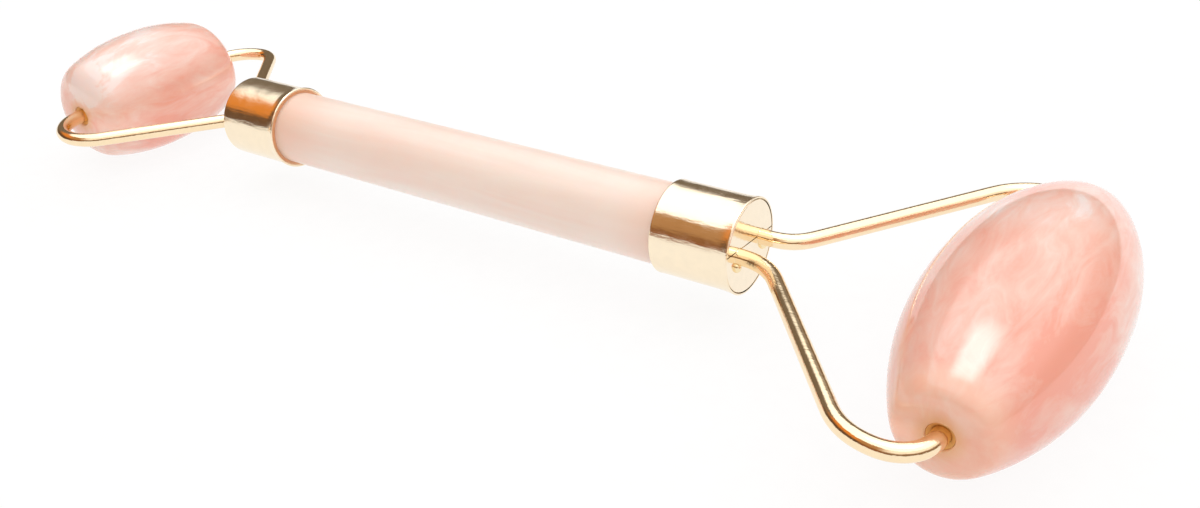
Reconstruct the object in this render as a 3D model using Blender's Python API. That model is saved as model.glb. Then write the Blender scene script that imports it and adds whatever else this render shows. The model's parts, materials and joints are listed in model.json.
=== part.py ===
"""Double-ended facial massage roller: a rose quartz bar between two gold ferrules.

Each ferrule carries a fork of two bent wires, and each fork carries a barrel-shaped
quartz roller that spins on the wire ends. The roller lies on its two barrels.

Metres, +Z up, +X along the handle towards the large roller, +Y along the roller axes.
Everything is built about the handle's own axis, with X = 0 at the middle of the bar,
and the finished assembly is then laid on the plane Z = 0.
"""
import math

import bmesh
import bpy
from mathutils import Matrix, Vector

MM = 0.001

# --- driving dimensions, millimetres -------------------------------------------------
BAR_RADIUS = 4.7
BAR_VISIBLE_LENGTH = 58.0
BAR_SOCKET_DEPTH = 5.2            # how far the bar goes into each ferrule
BAR_EDGE = 0.4

FERRULE_WALL = 0.35
FERRULE_LIP = 0.12
FERRULE_FLARE = 2.4
RIM_THICKNESS = 0.2               # sleeve outside the end plate
PLATE_THICKNESS = 0.8
FIT_GAP = 0.08                    # radial gap of the seated and running fits
FACE_GAP = 0.1                    # gap between faces that rest on each other

WIRE_RADIUS = 0.9
WIRE_ROOT_OFFSET = 2.54           # wire root to handle axis
WIRE_TAIL_INSIDE = 3.2            # wire behind the outer face of the end plate
WIRE_SHORT_OF_BUSH = 1.0          # wire end before the bush's inner face

DISC_EDGE = 0.1
DRILL_OVERRUN = 1.0

BUSH_RADIUS = 1.3
BUSH_LENGTH = 6.0
BUSH_RECESS = 0.2                 # bush face behind the stone face
BUSH_CHAMFER = 0.12
BORE_MOUTH = 0.2                  # countersink of the stone bore

SOLDER_RADIUS = 1.25
SOLDER_HEIGHT = 0.35
SOLDER_FOOT = 0.2
SOLDER_TIP_WALL = 0.12

BAR_SEGMENTS = 32
ROLLER_SEGMENTS = 32
BARREL_RINGS = 13
DOME_RINGS = 5
BUSH_SEGMENTS = 16
WIRE_BEVEL_RESOLUTION = 3
WIRE_ARC_STEP = math.radians(11)

# One entry for each end. The forks are planar; distances along the handle axis are
# measured outwards from the end plate, and sideways distances from the handle axis.
# The arms are bent by hand, so the left and right ones differ a little. Each runs
# straight to knee_1, spreads out to its reach, turns along and then in to the bore.
# A roller ends in a dome: roller_edge is its height, and dome_power how flat its middle is.
LARGE = {
    "name": "large", "side": 1,
    "ferrule_length": 9.55, "mouth_radius": 5.36, "waist_radius": 5.32, "rim_radius": 5.47,
    "roller_axis": 28.75, "roller_radius": 9.75, "roller_half_length": 21.9,
    "roller_end_radius": 4.4, "roller_edge": 1.4, "dome_power": 5.0,
    "roller_offset": 0.65,
    "arms": {
        "left": {"knee_1": 3.9, "spread": math.radians(56.0), "reach": 27.4,
                 "bend_1": 4.0, "bend_3": 4.0},
        "right": {"knee_1": 3.5, "spread": math.radians(51.2), "reach": 25.1,
                  "bend_1": 6.4, "bend_3": 3.6},
    },
}
SMALL = {
    "name": "small", "side": -1,
    "ferrule_length": 9.45, "mouth_radius": 5.32, "waist_radius": 5.22, "rim_radius": 5.2,
    "roller_axis": 21.9, "roller_radius": 8.5, "roller_half_length": 12.0,
    "roller_end_radius": 5.9, "roller_edge": 1.8, "dome_power": 3.0,
    "roller_offset": 0.0,
    "arms": {
        "left": {"knee_1": 3.2, "spread": math.radians(51.5), "reach": 17.6,
                 "bend_1": 3.0, "bend_3": 5.2},
        "right": {"knee_1": 1.2, "spread": math.radians(49.6), "reach": 17.6,
                  "bend_1": 1.8, "bend_3": 5.4},
    },
}
BARREL_POWER = 2.2                # how flat the middle of a barrel is
DOME_SPACING = 1.5                # above 1, the rings of an end crowd towards its edge

# --- colours: linear RGB, roughness, metallic ----------------------------------------
QUARTZ_BAR = ((0.86, 0.66, 0.62), 0.32, 0.0)
QUARTZ_ROLLER = ((0.86, 0.48, 0.42), 0.12, 0.0)
GOLD = ((0.93, 0.66, 0.30), 0.14, 1.0)
BRASS = ((0.80, 0.48, 0.16), 0.28, 1.0)
SOLDER = ((0.86, 0.66, 0.34), 0.30, 1.0)
RESIN = ((0.75, 0.66, 0.48), 0.45, 0.0)


def clear_scene():
    for old in list(bpy.data.objects):
        bpy.data.objects.remove(old, do_unlink=True)


def material(name, look):
    colour, roughness, metallic = look
    made = bpy.data.materials.new(name)
    made.use_nodes = True
    shader = made.node_tree.nodes["Principled BSDF"]
    shader.inputs["Base Color"].default_value = (*colour, 1.0)
    shader.inputs["Roughness"].default_value = roughness
    shader.inputs["Metallic"].default_value = metallic
    return made


def finish_object(name, mesh, look, parent, smooth_angle=math.radians(35)):
    """Put a mesh in the scene under its own material and parent."""
    mesh.shade_smooth()
    mesh.set_sharp_from_angle(angle=smooth_angle)
    mesh.materials.append(material(name + "_finish", look))
    made = bpy.data.objects.new(name, mesh)
    bpy.context.collection.objects.link(made)
    made.parent = parent
    return made


def turned_mesh(name, outline, segments, closed):
    """Revolve an outline of (along X, radius) points, in millimetres, about the X axis.

    A closed outline makes a tube; an open one starts and ends on the axis.
    """
    shape = bmesh.new()
    points = [shape.verts.new((x * MM, 0.0, radius * MM)) for x, radius in outline]
    edges = [shape.edges.new(pair) for pair in zip(points, points[1:])]
    if closed:
        edges.append(shape.edges.new((points[-1], points[0])))
    bmesh.ops.spin(shape, geom=points + edges, cent=(0, 0, 0), axis=(1, 0, 0), dvec=(0, 0, 0),
                   angle=math.tau, steps=segments, use_merge=False, use_duplicate=False)
    bmesh.ops.remove_doubles(shape, verts=shape.verts, dist=1e-6)
    bmesh.ops.recalc_face_normals(shape, faces=shape.faces)
    mesh = bpy.data.meshes.new(name)
    shape.to_mesh(mesh)
    shape.free()
    return mesh


def empty(name, parent=None, location=(0.0, 0.0, 0.0), rotation=(0.0, 0.0, 0.0)):
    made = bpy.data.objects.new(name, None)
    bpy.context.collection.objects.link(made)
    made.parent = parent
    made.location = location
    made.rotation_euler = rotation
    return made


# --- the handle ----------------------------------------------------------------------
def build_bar(parent):
    half = BAR_VISIBLE_LENGTH / 2 + BAR_SOCKET_DEPTH
    outline = [(-half, 0.0), (-half, BAR_RADIUS - BAR_EDGE), (-half + BAR_EDGE, BAR_RADIUS),
               (half - BAR_EDGE, BAR_RADIUS), (half, BAR_RADIUS - BAR_EDGE), (half, 0.0)]
    mesh = turned_mesh("handle_bar", outline, BAR_SEGMENTS, closed=False)
    return finish_object("handle_bar", mesh, QUARTZ_BAR, parent)


def ferrule_bore(end):
    """Radius of the space inside a ferrule."""
    return end["waist_radius"] - FERRULE_WALL


def build_ferrule(end, parent):
    """A thin sleeve from its mouth, on the bar, to the seat of the end plate in its rim."""
    length = end["ferrule_length"]
    mouth, waist, rim = end["mouth_radius"], end["waist_radius"], end["rim_radius"]
    inner = ferrule_bore(end)
    seat = rim - RIM_THICKNESS
    outline = [(-length, inner + FERRULE_LIP), (-length + FERRULE_LIP, inner),
               (-PLATE_THICKNESS - FACE_GAP, inner), (-PLATE_THICKNESS - FACE_GAP, seat), (0.0, seat),
               (0.0, rim - FERRULE_LIP), (-FERRULE_LIP, rim), (-FERRULE_FLARE, waist),
               (-length + FERRULE_FLARE, waist), (-length + FERRULE_LIP, mouth),
               (-length, mouth - FERRULE_LIP)]
    mesh = turned_mesh(end["name"] + "_ferrule", outline, BAR_SEGMENTS, closed=True)
    return finish_object(end["name"] + "_ferrule", mesh, GOLD, parent)


def wire_drill(name, front, back, parent):
    """Two rods, a fit gap wider than the wires, that cut the wire holes of a disc."""
    shape = bmesh.new()
    lay_along_x = Matrix.Rotation(math.pi / 2, 3, "Y")
    for side in (-1, 1):
        rod = bmesh.ops.create_cone(shape, cap_ends=True, segments=BUSH_SEGMENTS,
                                    radius1=(WIRE_RADIUS + FIT_GAP) * MM,
                                    radius2=(WIRE_RADIUS + FIT_GAP) * MM,
                                    depth=(front - back + 2 * DRILL_OVERRUN) * MM)
        bmesh.ops.rotate(shape, verts=rod["verts"], cent=(0, 0, 0), matrix=lay_along_x)
        middle = Vector(((front + back) / 2, side * WIRE_ROOT_OFFSET, 0.0))
        bmesh.ops.translate(shape, verts=rod["verts"], vec=middle * MM)
    mesh = bpy.data.meshes.new(name)
    shape.to_mesh(mesh)
    shape.free()
    made = bpy.data.objects.new(name, mesh)
    bpy.context.collection.objects.link(made)
    made.parent = parent
    made.hide_render = True
    made.display_type = "WIRE"
    return made


def build_drilled_disc(name, front, back, radius, look, parent):
    """A disc across the handle axis with the two wire holes through it."""
    outline = [(back, 0.0), (back, radius), (front - DISC_EDGE, radius),
               (front, radius - DISC_EDGE), (front, 0.0)]
    mesh = turned_mesh(name, outline, BAR_SEGMENTS, closed=False)
    made = finish_object(name, mesh, look, parent)
    cut = made.modifiers.new("wire_holes", "BOOLEAN")
    cut.operation = "DIFFERENCE"
    cut.object = wire_drill(name + "_drill", front, back, parent)
    return made


def build_plate_and_resin(end, parent):
    """The end plate sits flush in the rim; the resin fills the space behind it."""
    plate_radius = end["rim_radius"] - RIM_THICKNESS - FIT_GAP
    resin_radius = ferrule_bore(end) - FIT_GAP
    resin_front = -PLATE_THICKNESS - FACE_GAP
    resin_back = BAR_SOCKET_DEPTH + FACE_GAP - end["ferrule_length"]
    build_drilled_disc(end["name"] + "_end_plate", 0.0, -PLATE_THICKNESS, plate_radius, GOLD, parent)
    build_drilled_disc(end["name"] + "_resin_bed", resin_front, resin_back, resin_radius, RESIN,
                       parent)


# --- the forks -----------------------------------------------------------------------
def rounded_path(corners, radii):
    """A path through corners, in millimetres, with every inner corner made an arc."""
    path = [Vector(corners[0])]
    for before, corner, after, radius in zip(corners, corners[1:], corners[2:], radii):
        corner = Vector(corner)
        into = (Vector(before) - corner).normalized()
        out = (Vector(after) - corner).normalized()
        turn = math.pi - into.angle(out)
        start = corner + into * radius * math.tan(turn / 2)
        centre = corner + (into + out).normalized() * radius / math.cos(turn / 2)
        steps = max(3, round(turn / WIRE_ARC_STEP))
        spoke = start - centre
        direction = 1 if into.cross(out).z < 0 else -1
        for step in range(steps + 1):
            angle = direction * turn * step / steps
            path.append(centre + Vector((spoke.x * math.cos(angle) - spoke.y * math.sin(angle),
                                         spoke.x * math.sin(angle) + spoke.y * math.cos(angle), 0.0)))
    path.append(Vector(corners[-1]))
    return path


def wire_path(end, side, bends):
    """One fork arm: straight out of the plate, spread, turned along, turned in to the bore."""
    reach = bends["reach"]
    axis = end["roller_axis"]
    knee_2 = bends["knee_1"] + (reach - WIRE_ROOT_OFFSET) / math.tan(bends["spread"])
    bend_2 = (axis - knee_2 - bends["bend_3"]) / math.tan(bends["spread"] / 2)
    inner_end = end["roller_half_length"] - BUSH_RECESS - BUSH_LENGTH + WIRE_SHORT_OF_BUSH
    corners = [(-WIRE_TAIL_INSIDE, WIRE_ROOT_OFFSET), (bends["knee_1"], WIRE_ROOT_OFFSET),
               (knee_2, reach), (axis, reach), (axis, inner_end)]
    path = rounded_path([(along, side * across, 0.0) for along, across in corners],
                        (bends["bend_1"], bend_2, bends["bend_3"]))
    return path


def build_arm(end, side, side_name, parent):
    name = end["name"] + "_fork_" + side_name + "_arm"
    curve = bpy.data.curves.new(name, "CURVE")
    curve.dimensions = "3D"
    curve.twist_mode = "Z_UP"
    curve.bevel_depth = WIRE_RADIUS * MM
    curve.bevel_resolution = WIRE_BEVEL_RESOLUTION
    curve.use_fill_caps = True
    path = wire_path(end, side, end["arms"][side_name])
    spline = curve.splines.new("POLY")
    spline.points.add(len(path) - 1)
    for point, place in zip(spline.points, path):
        point.co = (*(place * MM), 1.0)
    curve.materials.append(material(name + "_finish", GOLD))
    made = bpy.data.objects.new(name, curve)
    bpy.context.collection.objects.link(made)
    made.parent = parent
    return made


def build_solder(end, side, side_name, parent):
    """A small cone of solder around a wire where it leaves the end plate."""
    name = end["name"] + "_solder_" + side_name
    inner = WIRE_RADIUS + FIT_GAP
    top = FACE_GAP + SOLDER_HEIGHT
    outline = [(FACE_GAP, inner), (FACE_GAP, SOLDER_RADIUS),
               (FACE_GAP + SOLDER_FOOT, SOLDER_RADIUS - SOLDER_TIP_WALL),
               (top, inner + SOLDER_TIP_WALL), (top, inner)]
    mesh = turned_mesh(name, outline, BUSH_SEGMENTS, closed=True)
    made = finish_object(name, mesh, SOLDER, parent)
    made.location = (0.0, side * WIRE_ROOT_OFFSET * MM, 0.0)
    return made


# --- the rollers ---------------------------------------------------------------------
def barrel_radius(end, along):
    """Radius of a roller at a distance from its middle, up to where its end dome begins."""
    fullness = (abs(along) / end["roller_half_length"]) ** BARREL_POWER
    return end["roller_radius"] - (end["roller_radius"] - end["roller_end_radius"]) * fullness


def barrel_outline(end):
    """Outline of a bored barrel with domed ends, from one countersunk mouth to the other."""
    half = end["roller_half_length"]
    edge = end["roller_edge"]
    bore = BUSH_RADIUS + FIT_GAP
    mouth_radius = bore + BORE_MOUTH
    shoulder = half - edge
    shoulder_radius = barrel_radius(end, shoulder)
    side = [(along, barrel_radius(end, along))
            for along in (-shoulder + 2 * shoulder * ring / BARREL_RINGS
                          for ring in range(BARREL_RINGS + 1))]
    right = []
    for ring in range(1, DOME_RINGS):
        share = 1 - (ring / DOME_RINGS) ** DOME_SPACING
        along = half - edge * share ** end["dome_power"]
        right.append((along, mouth_radius + (shoulder_radius - mouth_radius) * share))
    left = [(-along, radius) for along, radius in reversed(right)]
    mouth = [(half, mouth_radius), (half - BORE_MOUTH, bore)]
    return left + side + right + mouth + [(-along, radius) for along, radius in reversed(mouth)]


def build_roller(end, spin_centre):
    mesh = turned_mesh(end["name"] + "_roller", barrel_outline(end), ROLLER_SEGMENTS, closed=True)
    made = finish_object(end["name"] + "_roller", mesh, QUARTZ_ROLLER, spin_centre)
    made.rotation_euler = (0.0, 0.0, math.pi / 2)
    return made


def build_bush(end, side, side_name, spin_centre):
    """A brass tube pressed into the bore, in which the wire end turns."""
    name = end["name"] + "_roller_bush_" + side_name
    inner = WIRE_RADIUS + FIT_GAP
    outline = [(0.0, inner + BUSH_CHAMFER), (0.0, BUSH_RADIUS - BUSH_CHAMFER),
               (BUSH_CHAMFER, BUSH_RADIUS), (BUSH_LENGTH, BUSH_RADIUS), (BUSH_LENGTH, inner),
               (BUSH_CHAMFER, inner)]
    mesh = turned_mesh(name, outline, BUSH_SEGMENTS, closed=True)
    made = finish_object(name, mesh, BRASS, spin_centre)
    face = end["roller_half_length"] - BUSH_RECESS
    made.location = (0.0, side * face * MM, 0.0)
    made.rotation_euler = (0.0, 0.0, -side * math.pi / 2)
    return made


# --- the assembly --------------------------------------------------------------------
def plate_position(end):
    """Where an end plate's outer face lies on the handle axis."""
    return end["side"] * (BAR_VISIBLE_LENGTH / 2 + end["ferrule_length"])


def roller_position(end):
    """Where a roller's axis crosses the handle axis."""
    return plate_position(end) + end["side"] * end["roller_axis"]


def lay_on_rollers():
    """Tilt the handle axis so that both barrels touch Z = 0, and centre the whole on Z."""
    front, back = roller_position(LARGE), roller_position(SMALL)
    rise = LARGE["roller_radius"] - SMALL["roller_radius"]
    tilt = math.asin(rise / (front - back))
    front_end = front * math.cos(tilt) + LARGE["roller_radius"]
    back_end = back * math.cos(tilt) - SMALL["roller_radius"]
    height = LARGE["roller_radius"] - front * math.sin(tilt)
    sideways = (LARGE["arms"]["right"]["reach"] - LARGE["arms"]["left"]["reach"]) / 2
    place = (-(front_end + back_end) / 2 * MM, sideways * MM, height * MM)
    return empty("handle_axis", location=place, rotation=(0.0, -tilt, 0.0))


def build_end(end, handle):
    facing = 0.0 if end["side"] > 0 else math.pi
    fork = empty(end["name"] + "_fork_plane", handle, (plate_position(end) * MM, 0.0, 0.0),
                 (0.0, 0.0, facing))
    middle_of_roller = (end["roller_axis"] * MM, end["roller_offset"] * MM, 0.0)
    spin_centre = empty(end["name"] + "_spin_axis", fork, middle_of_roller)
    build_ferrule(end, fork)
    build_plate_and_resin(end, fork)
    left = end["side"]
    for side, side_name in ((left, "left"), (-left, "right")):
        build_arm(end, side, side_name, fork)
        build_solder(end, side, side_name, fork)
        build_bush(end, side, side_name, spin_centre)
    build_roller(end, spin_centre)


def main():
    clear_scene()
    handle = lay_on_rollers()
    build_bar(handle)
    for end in (LARGE, SMALL):
        build_end(end, handle)


main()
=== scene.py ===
"""The looks of the double-ended facial massage roller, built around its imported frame.

Sleeves, plates and wires are made in the frame of their end: X = 0 on the end plate's outer
face, +X away from the handle along its axis, Y along the roller's axis. The bar is made about
its own middle, and a roller with its bushes about the middle of the roller. Outlines are in
millimetres; meshes and matrices are in the frame's metres.
"""

import json
import math

import bmesh
import bpy
from mathutils import Matrix, Vector


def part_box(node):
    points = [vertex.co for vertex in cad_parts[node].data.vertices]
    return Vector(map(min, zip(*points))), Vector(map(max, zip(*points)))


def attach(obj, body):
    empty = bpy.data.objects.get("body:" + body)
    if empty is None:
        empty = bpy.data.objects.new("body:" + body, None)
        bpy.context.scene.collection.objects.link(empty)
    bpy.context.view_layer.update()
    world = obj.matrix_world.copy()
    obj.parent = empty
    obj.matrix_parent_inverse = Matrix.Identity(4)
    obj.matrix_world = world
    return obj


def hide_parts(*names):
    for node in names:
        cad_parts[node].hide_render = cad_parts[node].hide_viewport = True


MM = 0.001
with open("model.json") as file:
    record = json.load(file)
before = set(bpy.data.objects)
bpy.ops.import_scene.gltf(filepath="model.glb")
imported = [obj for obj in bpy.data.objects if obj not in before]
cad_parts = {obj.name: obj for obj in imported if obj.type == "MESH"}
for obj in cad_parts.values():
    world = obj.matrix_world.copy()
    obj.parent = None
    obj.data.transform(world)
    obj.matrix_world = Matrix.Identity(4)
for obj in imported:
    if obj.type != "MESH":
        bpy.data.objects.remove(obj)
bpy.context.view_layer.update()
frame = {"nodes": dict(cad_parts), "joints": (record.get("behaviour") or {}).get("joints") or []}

# --- sizes of the visible pieces, millimetres ----------------------------------------
BAR_RADIUS = 4.7
BAR_SOCKET_DEPTH = 5.2
BAR_EDGE = 0.4
BAR_STEPS = 40
BAR_CLEARANCE = 0.05
TOUCH_GAP = 0.01                  # between pieces that touch in the real roller
PLATE_THICKNESS = 0.8
PLATE_EDGE = 0.12
RIM_THICKNESS = 0.2
RIM_ROUND = 0.08
SEAM_GAP = 0.10
MOUTH_ROUND = 0.16
MOUTH_FLARE = 1.2
FUNNEL_DEPTH = 0.45               # the mouth opens towards the bar, for the glue
FUNNEL_SPREAD = 0.12
FERRULE_FLARE = 2.4
FLARE_POWER = 2.5                 # how late the flare turns outwards
FERRULE_STEPS = 12
GLUE_RECESS = 0.16                # the glue's crown behind the mouth
GLUE_DIP_INSIDE = 0.06            # its two edges behind the crown
GLUE_DIP_OUTSIDE = 0.03
GLUE_SHORT = 0.12                 # its outer edge short of the mouth's round
SLIT_WIDTH = 0.13
SLIT_DEPTH = 0.25
SLIT_RISE = 0.5
SLIT_LEAN = math.radians(5.0)
WIRE_RADIUS = 0.9
WIRE_ROOT_OFFSET = 2.54
WIRE_TAIL_INSIDE = 3.2
WIRE_END_ROUND = 0.25
HOLE_CLEARANCE = 0.03             # around a wire in the end plate
HOLE_DEPTH = 2.0
HOLE_OVERRUN = 1.0
SOLDER_REACH = 0.06
SOLDER_TURNS = (15, 30, 45, 60, 75, 90)
DROP_RADIUS = 0.62
DROP_SHAPE = (0.9, 0.85, 1.0)
DROP_ASIDE = 0.42
DROP_BELOW = 1.12
BUSH_RADIUS = 1.3
BUSH_LENGTH = 6.0
WIRE_END_DEPTH = 5.2
BUSH_RECESS = 0.2
BUSH_CLEARANCE = 0.02
BUSH_LIP = 0.03
BUSH_FUNNEL = 0.25
BORE_MOUTH = 0.2
BARREL_POWER = 2.2                # how flat the middle of a barrel is
BARREL_RINGS = 72
DOME_RINGS = 28

# Each arm runs straight to knee_1, spreads out to its reach, turns along and then in to the
# bore. A roller ends in a dome: roller_edge is its height, dome_power how flat its middle is.
LARGE = {
    "name": "large", "side": 1,
    "ferrule_length": 9.55, "mouth_radius": 5.36, "waist_radius": 5.32, "rim_radius": 5.47,
    "roller_axis": 28.75, "roller_radius": 9.73, "roller_half_length": 21.9,
    "roller_end_radius": 4.4, "roller_edge": 1.4, "dome_power": 5.0,
    "arms": {
        "left": {"knee_1": 3.9, "spread": math.radians(56.0), "reach": 27.4,
                 "bend_1": 4.0, "bend_3": 4.0},
        "right": {"knee_1": 3.5, "spread": math.radians(51.2), "reach": 25.1,
                  "bend_1": 6.4, "bend_3": 3.6},
    },
}
SMALL = {
    "name": "small", "side": -1,
    "ferrule_length": 9.45, "mouth_radius": 5.4, "waist_radius": 5.22, "rim_radius": 5.2,
    "roller_axis": 21.9, "roller_radius": 8.48, "roller_half_length": 12.0,
    "roller_end_radius": 5.9, "roller_edge": 1.8, "dome_power": 3.0,
    "arms": {
        "left": {"knee_1": 3.2, "spread": math.radians(51.5), "reach": 17.6,
                 "bend_1": 3.0, "bend_3": 5.2},
        "right": {"knee_1": 1.2, "spread": math.radians(49.6), "reach": 17.6,
                  "bend_1": 1.8, "bend_3": 5.4},
    },
}

TURNED_SEGMENTS = 128
SMALL_TURNED_SEGMENTS = 48
BUSH_SEGMENTS = 64
WIRE_SEGMENTS = 32
WIRE_STEP = 0.25
WIRE_EASING = 14                  # rounds of easing, see eased()
ROLLER_EASING = 12
SMOOTH_ANGLE = math.radians(32)   # steeper edges stay sharp

# --- camera, light and floor: metres, degrees and watts ------------------------------
CAMERA_AZIMUTH = 34.94
CAMERA_ELEVATION = 29.826
CAMERA_ROLL = -2.562
CAMERA_DISTANCE = 0.132414
CAMERA_TARGET = (0.020951, -0.009884, 0.009)
SENSOR_MM = 36.0
LENS_MM = 36.92
SOFTBOX_AT = (0.05, 0.29, 1.95)
SOFTBOX_AIM = (0.05, 0.28, 0.0)
SOFTBOX_SIZE = (1.75, 1.05)
SOFTBOX_POWER = 45.0
SOFTBOX_EVEN = 0.15               # from its middle, as a share of a side; then it fades
CEILING_WAY = (0.0, 0.15, 1.0)
CEILING = (1.58, 1.58, 1.58)
BACKDROP = (0.97, 0.97, 0.97)
FLOOR_REACH = 3.0
FLOOR_CELLS = 8
FLOOR_GLOW = 0.885

# --- the frame's own positions -------------------------------------------------------
SPIN_AT = {joint["child"]: Vector(joint["pos_m"]) for joint in frame["joints"]}
bar_low, bar_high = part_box("handle_bar")
BAR_MIDDLE = (bar_low + bar_high) / 2
RISE = SPIN_AT["large_roller_body"] - SPIN_AT["small_roller_body"]
TILT = math.atan2(RISE.z, RISE.x)
HANDLE = Matrix.Translation(BAR_MIDDLE) @ Matrix.Rotation(-TILT, 4, "Y")


def end_matrix(end):
    """The matrix from an end's own frame to the row's frame, both in metres."""
    spin = SPIN_AT[end["name"] + "_roller_body"]
    plate = end["side"] * (HANDLE.inverted() @ spin).x - end["roller_axis"] * MM
    out = HANDLE @ Matrix.Translation((end["side"] * plate, 0, 0))
    return out if end["side"] > 0 else out @ Matrix.Rotation(math.pi, 4, "Z")


def spin_matrix(end):
    """A roller's own frame: its middle on the spin axis, X along the axis towards +Y."""
    spin = SPIN_AT[end["name"] + "_roller_body"]
    return Matrix.Translation(spin) @ Matrix.Rotation(math.pi / 2, 4, "Z")


# --- mesh helpers --------------------------------------------------------------------
def mesh_object(name, shape):
    """Turn a bmesh into an object, smooth but for its edges."""
    bmesh.ops.recalc_face_normals(shape, faces=shape.faces)
    mesh = bpy.data.meshes.new(name)
    shape.to_mesh(mesh)
    shape.free()
    mesh.shade_smooth()
    mesh.set_sharp_from_angle(angle=SMOOTH_ANGLE)
    made = bpy.data.objects.new(name, mesh)
    bpy.context.scene.collection.objects.link(made)
    return made


def turned(name, outline, closed, segments=TURNED_SEGMENTS):
    """Revolve an outline of (along X, radius) millimetres about X; a closed one makes a tube."""
    shape = bmesh.new()
    turns = [math.tau * step / segments for step in range(segments)]
    rings = []
    for along, radius in outline:
        if radius == 0.0:
            rings.append([shape.verts.new((along * MM, 0.0, 0.0))] * segments)
            continue
        rings.append([shape.verts.new((along * MM, radius * MM * math.cos(turn),
                                       radius * MM * math.sin(turn))) for turn in turns])
    pairs = list(zip(rings, rings[1:]))
    if closed:
        pairs.append((rings[-1], rings[0]))
    for first, second in pairs:
        for step in range(segments):
            after = (step + 1) % segments
            corners = [first[step], first[after], second[after], second[step]]
            face = [corner for place, corner in enumerate(corners) if corner not in corners[:place]]
            shape.faces.new(face)
    return mesh_object(name, shape)


def arc(centre, radius, start, end, steps=8):
    """Points on a circle, both ends included; angles in degrees."""
    turns = [math.radians(start + (end - start) * step / steps) for step in range(steps + 1)]
    return [(centre[0] + radius * math.cos(turn), centre[1] + radius * math.sin(turn))
            for turn in turns]


def rounded_path(corners, radii):
    """A path through corners, in millimetres, with every inner corner made an arc."""
    path = [Vector(corners[0])]
    for before, corner, after, radius in zip(corners, corners[1:], corners[2:], radii):
        corner = Vector(corner)
        into = (Vector(before) - corner).normalized()
        out = (Vector(after) - corner).normalized()
        turn = math.pi - into.angle(out)
        start = corner + into * radius * math.tan(turn / 2)
        centre = corner + (into + out).normalized() * radius / math.cos(turn / 2)
        steps = max(6, round(turn * radius / WIRE_STEP))
        spoke = start - centre
        direction = 1 if into.cross(out).z < 0 else -1
        for step in range(steps + 1):
            path.append(centre + Matrix.Rotation(direction * turn * step / steps, 3, "Z") @ spoke)
    path.append(Vector(corners[-1]))
    return path


def evenly(path, step_mm):
    """The same path with points about step_mm apart."""
    out = [path[0]]
    for here, there in zip(path, path[1:]):
        pieces = max(1, round((there - here).length / step_mm))
        out += [here.lerp(there, piece / pieces) for piece in range(1, pieces + 1)]
    return out


def eased(path, passes):
    """Soften a path's bends: each pass moves a point halfway to its neighbours' middle."""
    for _ in range(passes):
        middles = [here / 2 + (before + after) / 4
                   for before, here, after in zip(path, path[1:], path[2:])]
        path = [path[0]] + middles + [path[-1]]
    return path


def swept_wire(name, path, radius):
    """A round wire along a path in the XY plane, with rounded ends."""
    up = Vector((0, 0, 1))
    turns = [math.tau * step / WIRE_SEGMENTS for step in range(WIRE_SEGMENTS)]
    shape = bmesh.new()
    rings = []

    def add_ring(centre, tangent, size):
        across = up.cross(tangent).normalized()
        rings.append([shape.verts.new((centre + across * size * math.cos(turn)
                                       + up * size * math.sin(turn)) * MM) for turn in turns])

    first_way = (path[1] - path[0]).normalized()
    last_way = (path[-1] - path[-2]).normalized()
    rounding = [math.radians(turn) for turn in (0, 25, 50, 75)]
    for turn in rounding:
        size = radius - WIRE_END_ROUND * (1 - math.sin(turn))
        add_ring(path[0] + first_way * WIRE_END_ROUND * (1 - math.cos(turn)), first_way, size)
    for behind, here, ahead in zip(path, path[1:], path[2:]):
        add_ring(here, (ahead - behind).normalized(), radius)
    for turn in reversed(rounding):
        size = radius - WIRE_END_ROUND * (1 - math.sin(turn))
        add_ring(path[-1] - last_way * WIRE_END_ROUND * (1 - math.cos(turn)), last_way, size)
    for first, second in zip(rings, rings[1:]):
        for step in range(WIRE_SEGMENTS):
            after = (step + 1) % WIRE_SEGMENTS
            shape.faces.new((first[step], first[after], second[after], second[step]))
    shape.faces.new(rings[0])
    shape.faces.new(rings[-1])
    return mesh_object(name, shape)


def put(piece, matrix, body, slot, look, *replaced):
    """Place a piece, give it its material, hang it on its body and hide the frame's pieces it
    replaces.
    """
    piece.matrix_world = matrix
    piece.data.materials.append(look)
    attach(piece, body)
    if replaced:
        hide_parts(*replaced)


# --- materials -----------------------------------------------------------------------
SALMON = (0.89, 0.40, 0.31)
ROSE = (0.91, 0.55, 0.46)
PALE_ROSE = (0.92, 0.66, 0.59)
# palest stone, which the pale clouds also use for painted sheen
VEIL_AND_SHEEN = (0.94, 0.79, 0.76)
TAN = (0.95, 0.60, 0.43)
# amber of the painted glow of the gold around a roller's bore
PAINTED_GOLD_GLOW = (0.82, 0.44, 0.20)
BAR_PALE = (0.95, 0.84, 0.77)
BAR_PINK = (0.93, 0.73, 0.645)
# painted peach glow of the gold sleeves on the bar
BAR_GOLD_GLOW = (0.90, 0.60, 0.47)
QUARTZ_IOR = 1.54
TAN_WIDTH = 4.0                   # the tan of a roller's ends, along it
TAN_FULL = 0.6
GOLD_GLOW_WIDTH = 1.6                 # the painted amber glow of the gold bush and wire, around its hole
GOLD_GLOW_SMALL_END = (-30.0, -19.0)  # along the bar, from full to none
GOLD_GLOW_LARGE_END = (22.0, 30.0)    # along the bar, from none to full
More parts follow.
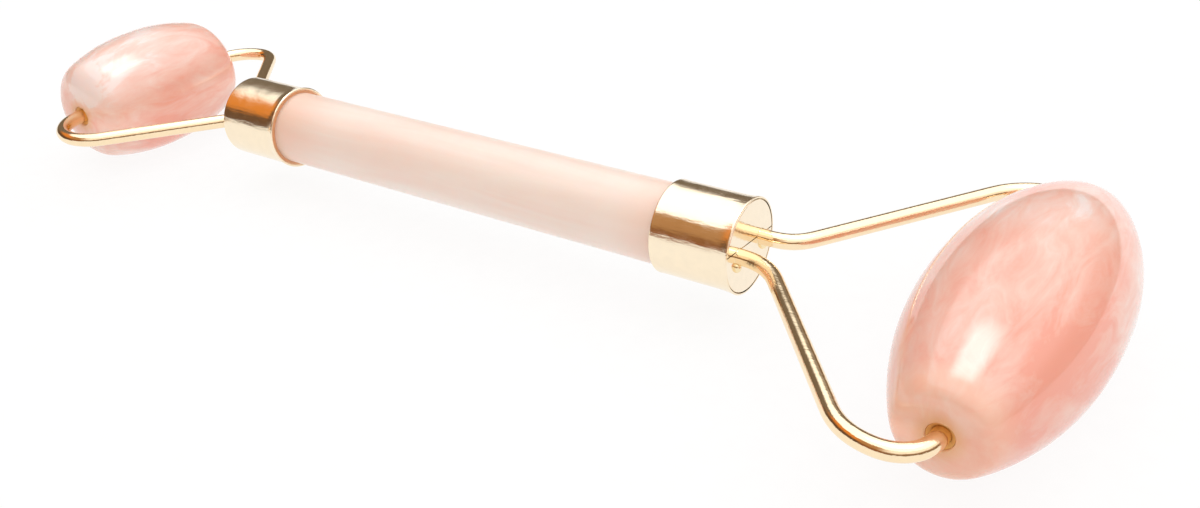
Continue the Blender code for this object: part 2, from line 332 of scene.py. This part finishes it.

# Clouds in a roller: centre in its own frame (X along the spin axis), reach in mm, and change
# of tone. They are partly the stone's own clouds and partly painted light: the pale ones high on
# a roller paint overhead light and sheen, and the dark ones lower down paint shade. "polish" is
# the stone's roughness and "tan" how strongly its ends are toned.
LARGE["seed"] = 13.0
LARGE["polish"] = 0.09
LARGE["tan"] = 0.45
LARGE["clouds"] = [
    ((3.0, 4.5, 8.5), 7.5, 0.50), ((-6.0, 3.5, 8.5), 5.0, 0.16), ((-12.0, 5.0, 6.5), 6.0, -0.14),
    ((-13.0, -6.5, 5.0), 8.0, -0.55), ((-5.0, -7.5, 5.5), 6.0, -0.25), ((2.0, -8.0, 5.5), 5.0, -0.20),
    ((5.0, -1.0, 9.5), 8.0, 0.12), ((-11.0, 0.0, 8.5), 6.5, 0.14), ((-20.0, -5.0, -2.0), 8.0, -0.65),
    ((1.0, -6.0, 8.0), 6.0, -0.20),
]
SMALL["seed"] = 41.0
SMALL["polish"] = 0.14
SMALL["tan"] = 0.1
SMALL["clouds"] = [
    ((-6.0, -2.5, 7.5), 10.0, 0.45), ((7.0, -3.5, 7.0), 7.0, 0.22), ((-11.5, -2.5, 4.5), 6.0, 0.70),
    ((1.0, -2.0, 8.0), 7.0, 0.40), ((4.0, -7.5, 3.5), 5.0, 0.20), ((-2.0, -8.0, 0.5), 6.0, -0.26),
    ((-4.0, -6.5, -5.5), 6.0, -0.50),
]


def node(tree, kind, settings=(), **inputs):
    """Add a shader node. Its sockets take a value or a link.

    They are given by name, with _ for a space, or by number, as i0, i1 and so on.
    """
    made = tree.nodes.new(kind)
    for key, value in dict(settings).items():
        setattr(made, key, value)
    for key, value in inputs.items():
        numbered = key[0] == "i" and key[1:].isdigit()
        socket = made.inputs[int(key[1:]) if numbered else key.replace("_", " ")]
        if isinstance(value, bpy.types.NodeSocket):
            tree.links.new(value, socket)
        else:
            socket.default_value = value
    return made


def new_material(name):
    made = bpy.data.materials.new(name)
    made.use_nodes = True
    tree = made.node_tree
    return made, tree, tree.nodes["Principled BSDF"]


def millimetres(tree, scale=(1, 1, 1)):
    """Object coordinates in millimetres, stretched by scale."""
    place = node(tree, "ShaderNodeTexCoord").outputs["Object"]
    scaled = tuple(1 / MM * part for part in scale)
    return node(tree, "ShaderNodeMapping", Vector=place, Scale=scaled).outputs["Vector"]


def noise(tree, vector, scale, detail=3.0, roughness=0.5, distortion=0.0):
    return node(tree, "ShaderNodeTexNoise", Vector=vector, Scale=scale, Detail=detail,
                Roughness=roughness, Distortion=distortion).outputs["Fac"]


def ramp(tree, value, *stops):
    """A colour ramp; each stop is a position and an (r, g, b) or a single number."""
    made = node(tree, "ShaderNodeValToRGB", Fac=value)
    elements = made.color_ramp.elements
    while len(elements) < len(stops):
        elements.new(0.5)
    for element, (position, colour) in zip(elements, stops):
        element.position = position
        element.color = (*colour, 1.0) if isinstance(colour, tuple) else (colour, colour, colour, 1.0)
    return made.outputs["Color"]


def mixed(tree, factor, first, second):
    """Two colours mixed; each is a link or an (r, g, b)."""
    first, second = [colour if isinstance(colour, bpy.types.NodeSocket) else (*colour, 1.0)
                     for colour in (first, second)]
    return node(tree, "ShaderNodeMix", {"data_type": "RGBA"}, i0=factor, i6=first,
                i7=second).outputs[2]


def maths(tree, operation, *values):
    """A Math node; its values or links come in the order of its sockets."""
    inputs = {"i%d" % place: value for place, value in enumerate(values)}
    return node(tree, "ShaderNodeMath", {"operation": operation}, **inputs).outputs["Value"]


def vector_maths(tree, operation, output, *values):
    """The same with vectors; output is the socket to read."""
    inputs = {"i%d" % place: value for place, value in enumerate(values)}
    return node(tree, "ShaderNodeVectorMath", {"operation": operation}, **inputs).outputs[output]


def spread(tree, value, start, end, low=0.0, high=1.0):
    """Start to end of a value, laid evenly over low to high."""
    return node(tree, "ShaderNodeMapRange", Value=value, i1=start, i2=end, i3=low,
                i4=high).outputs["Result"]


def soft_spread(tree, value, start, end, low=0.0, high=1.0):
    """The same, gently at both ends."""
    return node(tree, "ShaderNodeMapRange", {"interpolation_type": "SMOOTHSTEP"}, Value=value,
                i1=start, i2=end, i3=low, i4=high).outputs["Result"]


def bump(tree, height, distance_mm, normal=None):
    """A bump of a height in millimetres, on top of another one where a normal is given."""
    made = node(tree, "ShaderNodeBump", Height=height, Strength=1.0, Distance=distance_mm * MM)
    if normal is not None:
        tree.links.new(normal, made.inputs["Normal"])
    return made.outputs["Normal"]


def gold_material(name, colour, roughness, waviness):
    """Polished plating: fine grain, drawn streaks along the handle, a little haze and slow waves."""
    made, tree, shader = new_material(name)
    place = millimetres(tree)
    haze = noise(tree, place, 0.9, 4.0, 0.6)
    streaks = noise(tree, millimetres(tree, (0.25, 1.6, 1.6)), 1.0, 3.0, 0.6)
    tone = ramp(tree, haze, (0.3, tuple(part * 0.96 for part in colour)), (0.7, colour))
    tree.links.new(tone, shader.inputs["Base Color"])
    shader.inputs["Metallic"].default_value = 1.0
    rough = ramp(tree, haze, (0.35, roughness * 0.8), (0.75, roughness * 1.4))
    tree.links.new(rough, shader.inputs["Roughness"])
    waves = bump(tree, noise(tree, place, 0.35, 1.0), 0.03 * waviness)
    drawn = bump(tree, streaks, 0.02 * waviness, waves)
    grain = noise(tree, place, 5.0, 2.0, 0.7)
    tree.links.new(bump(tree, grain, 0.004 * waviness, drawn), shader.inputs["Normal"])
    return made


def stone_cloud_and_painted_light(tree, place, centre, reach, strength):
    """A soft ball of tone in the stone's colour, used for the stone's clouds and for painted light
    and shade: strength at its centre, nothing past its reach (mm).
    """
    away = vector_maths(tree, "DISTANCE", "Value", place, centre)
    return soft_spread(tree, away, 0.0, reach, strength, 0.0)


def quartz_roller_material(name, end):
    """Polished rose quartz: salmon clouds and pale veils under a clear surface, tan at its ends; the
    clouds also paint light, sheen and shade, and an amber ring paints the gold's glow round the bore.
    """
    made, tree, shader = new_material(name)
    place = millimetres(tree)
    wispy = node(tree, "ShaderNodeMapping", Vector=place, Location=(end["seed"],) * 3,
                 Rotation=(0.5, 0.2, 0.3), Scale=(0.35, 1.0, 1.0)).outputs["Vector"]
    broad = noise(tree, wispy, 0.11, 3.0, 0.5, 0.6)
    veins = noise(tree, wispy, 0.38, 5.0, 0.6, 1.2)
    wisps = noise(tree, wispy, 1.1, 4.0, 0.55, 0.8)
    tone = spread(tree, broad, 0.3, 0.7, 0.15, 0.80)
    tone = maths(tree, "ADD", tone, spread(tree, veins, 0.32, 0.68, -0.26, 0.26))
    tone = maths(tree, "ADD", tone, spread(tree, wisps, 0.3, 0.7, -0.06, 0.06))
    # stone clouds with painted light: pale patches high up paint light and sheen, dark ones lower
    # down paint shade
    for centre, reach, strength in end["clouds"]:
        tone = maths(tree, "ADD", tone, stone_cloud_and_painted_light(tree, place, centre, reach, strength))
    base = ramp(tree, tone, (0.0, SALMON), (0.45, ROSE), (0.8, PALE_ROSE), (1.0, VEIL_AND_SHEEN))
    along = node(tree, "ShaderNodeSeparateXYZ", Vector=place).outputs["X"]
    along = maths(tree, "ABSOLUTE", along)
    half = end["roller_half_length"]
    ends = soft_spread(tree, along, half - TAN_WIDTH, half - TAN_FULL, 0.0, end["tan"])
    base = mixed(tree, ends, base, TAN)
    off_axis = vector_maths(tree, "MULTIPLY", "Vector", place, (0, 1, 1))
    off_axis = vector_maths(tree, "LENGTH", "Value", off_axis)
    # painted glow: the gold bush and wire shine amber through the stone around the bore
    hole = soft_spread(tree, off_axis, BUSH_RADIUS, BUSH_RADIUS + GOLD_GLOW_WIDTH, 0.7, 0.0)
    base = mixed(tree, hole, base, PAINTED_GOLD_GLOW)
    tree.links.new(base, shader.inputs["Base Color"])
    shader.inputs["Roughness"].default_value = end["polish"]
    shader.inputs["IOR"].default_value = QUARTZ_IOR
    shader.inputs["Subsurface Weight"].default_value = 0.3
    shader.inputs["Subsurface Radius"].default_value = (1.0, 0.55, 0.45)
    shader.inputs["Subsurface Scale"].default_value = 0.8 * MM
    return made


def quartz_bar_material(name):
    """Paler, satin rose quartz with faint bands along the bar, and a painted peach glow that the gold
    sleeves throw on it near them.
    """
    made, tree, shader = new_material(name)
    place = millimetres(tree)
    stretched = node(tree, "ShaderNodeMapping", Vector=place,
                     Scale=(0.10, 1.0, 1.0)).outputs["Vector"]
    bands = noise(tree, stretched, 0.35, 4.0, 0.55, 0.6)
    clouds = noise(tree, place, 0.06, 3.0, 0.5, 0.5)
    base = ramp(tree, bands, (0.3, BAR_PINK), (0.7, BAR_PALE))
    base = mixed(tree, ramp(tree, clouds, (0.4, 0.0), (0.7, 0.5)), base, BAR_PALE)
    along = node(tree, "ShaderNodeSeparateXYZ", Vector=place).outputs["X"]
    # painted glow of the gold sleeves, strongest by the small one
    small_end = soft_spread(tree, along, *GOLD_GLOW_SMALL_END, 0.75, 0.0)
    large_end = soft_spread(tree, along, *GOLD_GLOW_LARGE_END, 0.0, 0.45)
    base = mixed(tree, maths(tree, "ADD", small_end, large_end), base, BAR_GOLD_GLOW)
    tree.links.new(base, shader.inputs["Base Color"])
    shader.inputs["Roughness"].default_value = 0.34
    shader.inputs["IOR"].default_value = QUARTZ_IOR
    shader.inputs["Subsurface Weight"].default_value = 0.5
    shader.inputs["Subsurface Radius"].default_value = (1.0, 0.7, 0.6)
    shader.inputs["Subsurface Scale"].default_value = 2.0 * MM
    return made


def plain_material(name, colour, roughness, metallic):
    """Hidden or tiny pieces: one tone with a little mottling."""
    made, tree, shader = new_material(name)
    mottle = noise(tree, millimetres(tree), 1.2, 3.0)
    tone = ramp(tree, mottle, (0.3, tuple(part * 0.85 for part in colour)), (0.7, colour))
    tree.links.new(tone, shader.inputs["Base Color"])
    rough = ramp(tree, mottle, (0.3, roughness), (0.7, roughness * 1.4))
    tree.links.new(rough, shader.inputs["Roughness"])
    shader.inputs["Metallic"].default_value = metallic
    return made


FERRULE_GOLD = gold_material("ferrule_gold", (0.99, 0.85, 0.64), 0.16, 1.6)
PLATE_GOLD = gold_material("plate_gold", (0.99, 0.86, 0.67), 0.10, 0.6)
WIRE_GOLD = gold_material("wire_gold", (0.99, 0.80, 0.54), 0.11, 1.0)
SOLDER_GOLD = gold_material("solder_gold", (0.97, 0.80, 0.50), 0.16, 2.0)
# the bushes' brass, made amber and barely metallic: its tone also paints the orange glow in the bore
BRASS_AND_PAINTED_GLOW = plain_material("bush_brass_and_painted_glow", (0.93, 0.52, 0.17), 0.45, 0.2)
RESIN = plain_material("resin", (0.75, 0.66, 0.48), 0.4, 0.0)
# glue coloured amber: a painted reflection of the gold in the sleeve's mouth
GLUE_PAINTED_GOLD_REFLECTION = plain_material("glue_painted_gold_reflection", (0.82, 0.40, 0.20), 0.3, 0.0)
BAR_QUARTZ = quartz_bar_material("bar_quartz")
LARGE["stone"] = quartz_roller_material("large_roller_quartz", LARGE)
SMALL["stone"] = quartz_roller_material("small_roller_quartz", SMALL)


# --- pieces --------------------------------------------------------------------------
def build_bar():
    """The stone bar, from socket to socket, with rounded edges."""
    large_end = end_matrix(LARGE).translation
    small_end = end_matrix(SMALL).translation
    sleeves = LARGE["ferrule_length"], SMALL["ferrule_length"]
    half = ((large_end - small_end).length / MM - sleeves[0] - sleeves[1]) / 2 + BAR_SOCKET_DEPTH
    straight = half - BAR_EDGE
    outline = [(-half, 0.0)] + arc((-straight, BAR_RADIUS - BAR_EDGE), BAR_EDGE, 180, 90)
    outline += [(-straight + 2 * straight * step / BAR_STEPS, BAR_RADIUS)
                for step in range(1, BAR_STEPS)]
    outline += arc((straight, BAR_RADIUS - BAR_EDGE), BAR_EDGE, 90, 0) + [(half, 0.0)]
    bar = turned("stone_bar", outline, closed=False)
    put(bar, HANDLE, "handle", "quartz_bar", BAR_QUARTZ, "handle_bar")


def ferrule_outline(end):
    """The sleeve's section: rim, seat for the plate, bore, funnel mouth, rolled lip and outside."""
    length = end["ferrule_length"]
    mouth, waist, rim = end["mouth_radius"], end["waist_radius"], end["rim_radius"]
    bore = BAR_RADIUS + BAR_CLEARANCE
    seat = rim - RIM_THICKNESS
    outside = []
    for step in range(FERRULE_STEPS + 1):
        share = step / FERRULE_STEPS
        along = -FERRULE_FLARE * (1 - share) - RIM_ROUND * share
        outside.append((along, waist + (rim - waist) * share ** FLARE_POWER))
    lip = []
    for step in range(FERRULE_STEPS + 1):
        share = step / FERRULE_STEPS
        along = -length + MOUTH_ROUND + MOUTH_FLARE * share
        lip.append((along, mouth + (waist - mouth) * (1 - (1 - share) ** 2)))
    rim_round = arc((-RIM_ROUND, rim - RIM_ROUND), RIM_ROUND, 90, 0)
    mouth_round = arc((-length + MOUTH_ROUND, mouth - MOUTH_ROUND), MOUTH_ROUND, 200, 90)
    inside = [(0.0, seat), (-PLATE_THICKNESS, seat), (-PLATE_THICKNESS, bore),
              (-length + FUNNEL_DEPTH, bore),
              (-length + FUNNEL_DEPTH / 2, bore + FUNNEL_SPREAD)]
    return inside + mouth_round[:-1] + lip[:-1] + outside[:-1] + rim_round[:-1]


def build_ferrule(end):
    sleeve = turned(end["name"] + "_gold_ferrule", ferrule_outline(end), closed=True)
    put(sleeve, end_matrix(end), "handle", "gold_ferrule", FERRULE_GOLD,
        end["name"] + "_ferrule")


def block(name, size, matrix):
    """A box of a size in millimetres, used to cut a slit."""
    shape = bmesh.new()
    bmesh.ops.create_cube(shape, size=MM)
    bmesh.ops.scale(shape, vec=size, verts=shape.verts)
    made = mesh_object(name, shape)
    made.matrix_world = matrix
    return made


def cut_away(target, cutters):
    """Boolean the cutters out of the target, and remove them."""
    for cutter in cutters:
        cut = target.modifiers.new(cutter.name, "BOOLEAN")
        cut.operation = "DIFFERENCE"
        cut.object = cutter
    graph = bpy.context.evaluated_depsgraph_get()
    whole = target.data
    target.data = bpy.data.meshes.new_from_object(target.evaluated_get(graph))
    target.data.name = whole.name
    target.modifiers.clear()
    bpy.data.meshes.remove(whole)
    for cutter in cutters:
        bpy.data.objects.remove(cutter)


def build_glue_line(end):
    """The glue in the funnel between the bar and the sleeve's mouth; its amber colour paints the
    gold's orange reflection there.
    """
    length = end["ferrule_length"]
    face = -length + GLUE_RECESS
    inner = BAR_RADIUS + TOUCH_GAP
    outer = end["mouth_radius"] - MOUTH_ROUND - GLUE_SHORT
    outline = [(-length + FUNNEL_DEPTH, inner), (face - GLUE_DIP_INSIDE, inner),
               (face, (inner + outer) / 2), (face - GLUE_DIP_OUTSIDE, outer),
               (-length + FUNNEL_DEPTH, BAR_RADIUS + BAR_CLEARANCE)]
    line = turned(end["name"] + "_glue_line", outline, closed=True)
    put(line, end_matrix(end), "handle", "resin", GLUE_PAINTED_GOLD_REFLECTION)


def build_plate(end):
    """The bright disc that closes a ferrule: two halves that meet in a slit just above the wires."""
    radius = end["rim_radius"] - RIM_THICKNESS - SEAM_GAP
    outline = [(-PLATE_THICKNESS, 0.0), (-PLATE_THICKNESS, radius)]
    outline += arc((-PLATE_EDGE, radius - PLATE_EDGE), PLATE_EDGE, 90, 0, 6) + [(0.0, 0.0)]
    plate = turned(end["name"] + "_bright_plate", outline, closed=False)
    lean = Matrix.Rotation(-SLIT_LEAN * end["side"], 4, "X")
    cutters = [block("slit", (2 * SLIT_DEPTH, 4 * radius, SLIT_WIDTH),
                     Matrix.Translation((0, 0, SLIT_RISE * MM)) @ lean)]
    drill_radius = WIRE_RADIUS + HOLE_CLEARANCE
    drill = [(-HOLE_DEPTH, 0.0), (-HOLE_DEPTH, drill_radius),
             (HOLE_OVERRUN, drill_radius), (HOLE_OVERRUN, 0.0)]
    for side in (1, -1):
        hole = turned("wire_hole", drill, closed=False, segments=SMALL_TURNED_SEGMENTS)
        hole.matrix_world = Matrix.Translation((0, side * WIRE_ROOT_OFFSET * MM, 0))
        cutters.append(hole)
    cut_away(plate, cutters)
    plate.data.shade_flat()
    put(plate, end_matrix(end), "handle", "gold_plate", PLATE_GOLD, end["name"] + "_end_plate")


def wire_path(end, side, bends):
    """The middle line of an arm, from its tail behind the plate to its end in the bore."""
    reach = bends["reach"]
    axis = end["roller_axis"]
    knee_2 = bends["knee_1"] + (reach - WIRE_ROOT_OFFSET) / math.tan(bends["spread"])
    bend_2 = (axis - knee_2 - bends["bend_3"]) / math.tan(bends["spread"] / 2)
    inner_end = end["roller_half_length"] - WIRE_END_DEPTH
    corners = [(-WIRE_TAIL_INSIDE, WIRE_ROOT_OFFSET), (bends["knee_1"], WIRE_ROOT_OFFSET),
               (knee_2, reach), (axis, reach), (axis, inner_end)]
    path = rounded_path([(along, side * across, 0.0) for along, across in corners],
                        (bends["bend_1"], bend_2, bends["bend_3"]))
    return eased(evenly(path, WIRE_STEP), WIRE_EASING)


def build_arm(end, side, side_name):
    path = wire_path(end, side, end["arms"][side_name])
    arm = swept_wire(end["name"] + "_gold_wire_" + side_name, path, WIRE_RADIUS)
    put(arm, end_matrix(end), "handle", "gold_wire", WIRE_GOLD,
        end["name"] + "_fork_" + side_name + "_arm")


def build_solder(end, side, side_name):
    """A thin fillet of solder around the wire's root, with the drop that ran down below it."""
    inner = WIRE_RADIUS + TOUCH_GAP
    outline = [(0.0, inner), (0.0, inner + SOLDER_REACH)]
    for turn in SOLDER_TURNS:
        along = SOLDER_REACH * (1 - math.cos(math.radians(turn)))
        outline.append((along, inner + SOLDER_REACH * (1 - math.sin(math.radians(turn)))))
    shape = turned(end["name"] + "_solder_" + side_name + "_fillet", outline, closed=True,
                   segments=SMALL_TURNED_SEGMENTS)
    drop = bmesh.new()
    bmesh.ops.create_uvsphere(drop, u_segments=24, v_segments=14, radius=DROP_RADIUS * MM)
    bmesh.ops.scale(drop, vec=DROP_SHAPE, verts=drop.verts)
    bmesh.ops.translate(drop, vec=(0.0, side * DROP_ASIDE * MM, -DROP_BELOW * MM), verts=drop.verts)
    bead = mesh_object(end["name"] + "_solder_" + side_name + "_drop", drop)
    root = end_matrix(end) @ Matrix.Translation((0.0, side * WIRE_ROOT_OFFSET * MM, 0.0))
    put(shape, root, "handle", "solder", SOLDER_GOLD, end["name"] + "_solder_" + side_name)
    put(bead, root, "handle", "solder", SOLDER_GOLD)


def barrel_radius(end, along):
    """Radius of a roller at a distance from its middle, up to where its end dome begins."""
    fullness = (abs(along) / end["roller_half_length"]) ** BARREL_POWER
    return end["roller_radius"] - (end["roller_radius"] - end["roller_end_radius"]) * fullness


def barrel_outline(end):
    """A bored barrel with domed ends and rounded bore mouths."""
    half = end["roller_half_length"]
    edge = end["roller_edge"]
    bore = BUSH_RADIUS + TOUCH_GAP
    mouth_radius = bore + BORE_MOUTH
    shoulder = half - edge
    shoulder_radius = barrel_radius(end, shoulder)
    side = [(along, barrel_radius(end, along))
            for along in (-shoulder + 2 * shoulder * ring / BARREL_RINGS
                          for ring in range(BARREL_RINGS + 1))]
    right = []
    for ring in range(1, DOME_RINGS + 1):
        share = 1 - ring / DOME_RINGS
        along = half - edge * share ** end["dome_power"]
        right.append((along, mouth_radius + (shoulder_radius - mouth_radius) * share))
    left = [(-along, radius) for along, radius in reversed(right)]
    skin = eased([Vector(point) for point in left + side + right], ROLLER_EASING)
    skin = [tuple(point) for point in skin]
    mouth = arc((half - BORE_MOUTH, mouth_radius), BORE_MOUTH, 0, -90, 5)[1:]
    return skin + mouth + [(-along, radius) for along, radius in reversed(mouth)]


def build_roller(end):
    roller = turned(end["name"] + "_quartz_roller", barrel_outline(end), closed=True)
    put(roller, spin_matrix(end), end["name"] + "_roller_body", "quartz_roller", end["stone"],
        end["name"] + "_roller")


def build_bush(end, side, side_name):
    """A brass tube in the bore, with a conical face just behind the stone's."""
    inner = WIRE_RADIUS + BUSH_CLEARANCE
    outline = [(0.0, BUSH_RADIUS - BUSH_LIP), (-BUSH_LIP, BUSH_RADIUS), (-BUSH_LENGTH, BUSH_RADIUS),
               (-BUSH_LENGTH, inner), (-BUSH_FUNNEL, inner)]
    bush = turned(end["name"] + "_brass_bush_" + side_name, outline, closed=True,
                  segments=BUSH_SEGMENTS)
    face = (end["roller_half_length"] - BUSH_RECESS) * MM
    facing = Matrix.Rotation(0.0 if side * end["side"] > 0 else math.pi, 4, "Z")
    put(bush, spin_matrix(end) @ facing @ Matrix.Translation((face, 0, 0)),
        end["name"] + "_roller_body", "brass_bush", BRASS_AND_PAINTED_GLOW,
        end["name"] + "_roller_bush_" + side_name)


build_bar()
for end in (LARGE, SMALL):
    build_ferrule(end)
    build_glue_line(end)
    build_plate(end)
    build_roller(end)
    for side, side_name in ((end["side"], "left"), (-end["side"], "right")):
        build_arm(end, side, side_name)
        build_solder(end, side, side_name)
        build_bush(end, side, side_name)
    resin_bed = frame["nodes"][end["name"] + "_resin_bed"]
    resin_bed.data.materials.clear()
    resin_bed.data.materials.append(RESIN)


# --- floor, light and camera ---------------------------------------------------------
def build_floor():
    """A wide sheet of paper that glows almost white, so that only a faint shadow shows."""
    shape = bmesh.new()
    places = [FLOOR_REACH * (cell / FLOOR_CELLS * 2 - 1) for cell in range(FLOOR_CELLS + 1)]
    grid = [[shape.verts.new((x, y, 0.0)) for x in places] for y in places]
    for lower, upper in zip(grid, grid[1:]):
        for column in range(FLOOR_CELLS):
            shape.faces.new((lower[column], lower[column + 1], upper[column + 1], upper[column]))
    floor = mesh_object("studio_floor", shape)
    made, tree, shader = new_material("floor_paper")
    grain = noise(tree, millimetres(tree), 0.4, 4.0)
    tree.links.new(ramp(tree, grain, (0.3, 0.105), (0.7, 0.115)), shader.inputs["Base Color"])
    shader.inputs["Roughness"].default_value = 0.9
    shader.inputs["Specular IOR Level"].default_value = 0.0
    shader.inputs["Emission Color"].default_value = (1.0, 1.0, 1.0, 1.0)
    shader.inputs["Emission Strength"].default_value = FLOOR_GLOW
    floor.data.materials.append(made)


def soften_light(light):
    """A softbox is brightest in its middle and fades towards its edges."""
    light.use_nodes = True
    tree = light.node_tree
    place = node(tree, "ShaderNodeNewGeometry").outputs["Parametric"]
    from_middle = vector_maths(tree, "SUBTRACT", "Vector", place, (0.5, 0.5, 0.0))
    sides = node(tree, "ShaderNodeSeparateXYZ", Vector=from_middle)
    fades = []
    for side in ("X", "Y"):
        away = maths(tree, "ABSOLUTE", sides.outputs[side])
        fades.append(soft_spread(tree, away, SOFTBOX_EVEN, 0.5, 1.0, 0.0))
    strength = maths(tree, "MULTIPLY", *fades)
    tree.links.new(strength, tree.nodes["Emission"].inputs["Strength"])


def build_softbox():
    """One large softbox overhead, for reflections and shine only."""
    light = bpy.data.lights.new("overhead_softbox", "AREA")
    light.shape = "RECTANGLE"
    light.size, light.size_y = SOFTBOX_SIZE
    light.energy = SOFTBOX_POWER
    made = bpy.data.objects.new("overhead_softbox", light)
    bpy.context.scene.collection.objects.link(made)
    away = Vector(SOFTBOX_AT) - Vector(SOFTBOX_AIM)
    turn = away.to_track_quat("Z", "Y").to_matrix().to_4x4()
    made.matrix_world = Matrix.Translation(SOFTBOX_AT) @ turn
    made.visible_diffuse = False
    soften_light(light)


def build_world():
    """A bright ceiling over warm, dark walls that the gold reflects.

    The walls are dim behind the roller, amber and brown in front of it on the small roller's
    side, and bright above a low band on the large roller's. The camera sees plain near-white.
    """
    world = bpy.data.worlds.new("studio")
    bpy.context.scene.world = world
    world.use_nodes = True
    tree = world.node_tree
    background = tree.nodes["Background"]
    direction = node(tree, "ShaderNodeTexCoord").outputs["Generated"]
    parts = node(tree, "ShaderNodeSeparateXYZ", Vector=direction)
    along, depth, height = parts.outputs["X"], parts.outputs["Y"], parts.outputs["Z"]
    back = ramp(tree, height, (0.0, (0.18, 0.14, 0.10)), (1.0, (0.22, 0.17, 0.13)))
    amber = ramp(tree, height, (0.0, (0.13, 0.07, 0.04)), (0.30, (0.15, 0.08, 0.04)),
                 (0.46, (0.78, 0.27, 0.05)))
    brown = ramp(tree, height, (0.0, (0.30, 0.11, 0.04)), (0.24, (0.26, 0.11, 0.04)),
                 (0.36, (0.46, 0.24, 0.10)))
    bright = ramp(tree, height, (0.0, (0.22, 0.13, 0.07)), (0.26, (0.30, 0.18, 0.10)),
                  (0.42, (1.15, 1.07, 1.0)))
    front = mixed(tree, spread(tree, along, -0.66, -0.52), amber, brown)
    walls = mixed(tree, spread(tree, depth, -0.05, 0.20), front, back)
    walls = mixed(tree, soft_spread(tree, along, -0.30, 0.25), walls, bright)
    overhead = vector_maths(tree, "DOT_PRODUCT", "Value", direction, CEILING_WAY)
    sky = mixed(tree, soft_spread(tree, overhead, 0.61, 0.71), walls, CEILING)
    seen = node(tree, "ShaderNodeLightPath").outputs["Is Camera Ray"]
    tree.links.new(mixed(tree, seen, sky, BACKDROP), background.inputs["Color"])


def build_camera():
    camera = bpy.data.cameras.new("camera")
    camera.sensor_width = SENSOR_MM
    camera.lens = LENS_MM
    camera.clip_start = 0.01
    made = bpy.data.objects.new("camera", camera)
    bpy.context.scene.collection.objects.link(made)
    azimuth, elevation = math.radians(CAMERA_AZIMUTH), math.radians(CAMERA_ELEVATION)
    level = math.cos(elevation)
    back = Vector((math.sin(azimuth) * level, -math.cos(azimuth) * level, math.sin(elevation)))
    look = back.to_track_quat("Z", "Y").to_matrix().to_4x4()
    roll = Matrix.Rotation(math.radians(CAMERA_ROLL), 4, "Z")
    place = Matrix.Translation(Vector(CAMERA_TARGET) + back * CAMERA_DISTANCE)
    made.matrix_world = place @ look @ roll
    bpy.context.scene.camera = made


build_floor()
build_world()
build_softbox()
build_camera()
bpy.context.scene.view_settings.view_transform = "Standard"
